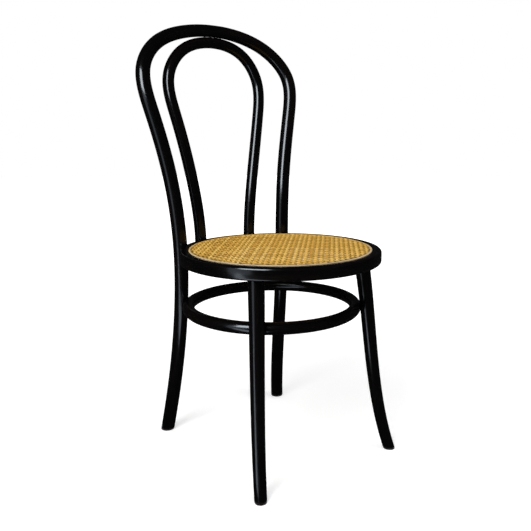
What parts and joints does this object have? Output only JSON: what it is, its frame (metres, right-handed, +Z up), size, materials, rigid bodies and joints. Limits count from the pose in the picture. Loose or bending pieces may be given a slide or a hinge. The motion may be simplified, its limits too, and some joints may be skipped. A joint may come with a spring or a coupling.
{
  "type": "bentwood bistro chair",
  "caption": "Bentwood side chair with a tall hooped back, an inner loop, a round cane seat and a ring that braces its splayed legs.",
  "frame": {"origin": "on the floor under the middle of the chair's outline, 26 mm behind the middle of the seat", "axes": "+Z up, -Y the way the sitter faces, +X to the sitter's left"},
  "size_m": [0.4099, 0.4622, 0.8905],
  "materials": {
    "lacquered_beech": "black gloss lacquer on beech",
    "cane": "natural woven cane, satin",
    "reed": "natural reed, matt",
    "zinc_steel": "zinc plated"
  },
  "bodies": {
    "root": {"back_hoop": "lacquered_beech", "inner_back_loop": "lacquered_beech", "seat_ring": "lacquered_beech", "front_leg_left": "lacquered_beech", "front_leg_right": "lacquered_beech", "leg_ring": "lacquered_beech", "cane_panel": "cane", "cane_spline": "reed", "rear_leg_bolts": "zinc_steel", "rear_leg_washers": "zinc_steel", "rear_leg_nuts": "zinc_steel"}
  },
  "joints": []
}
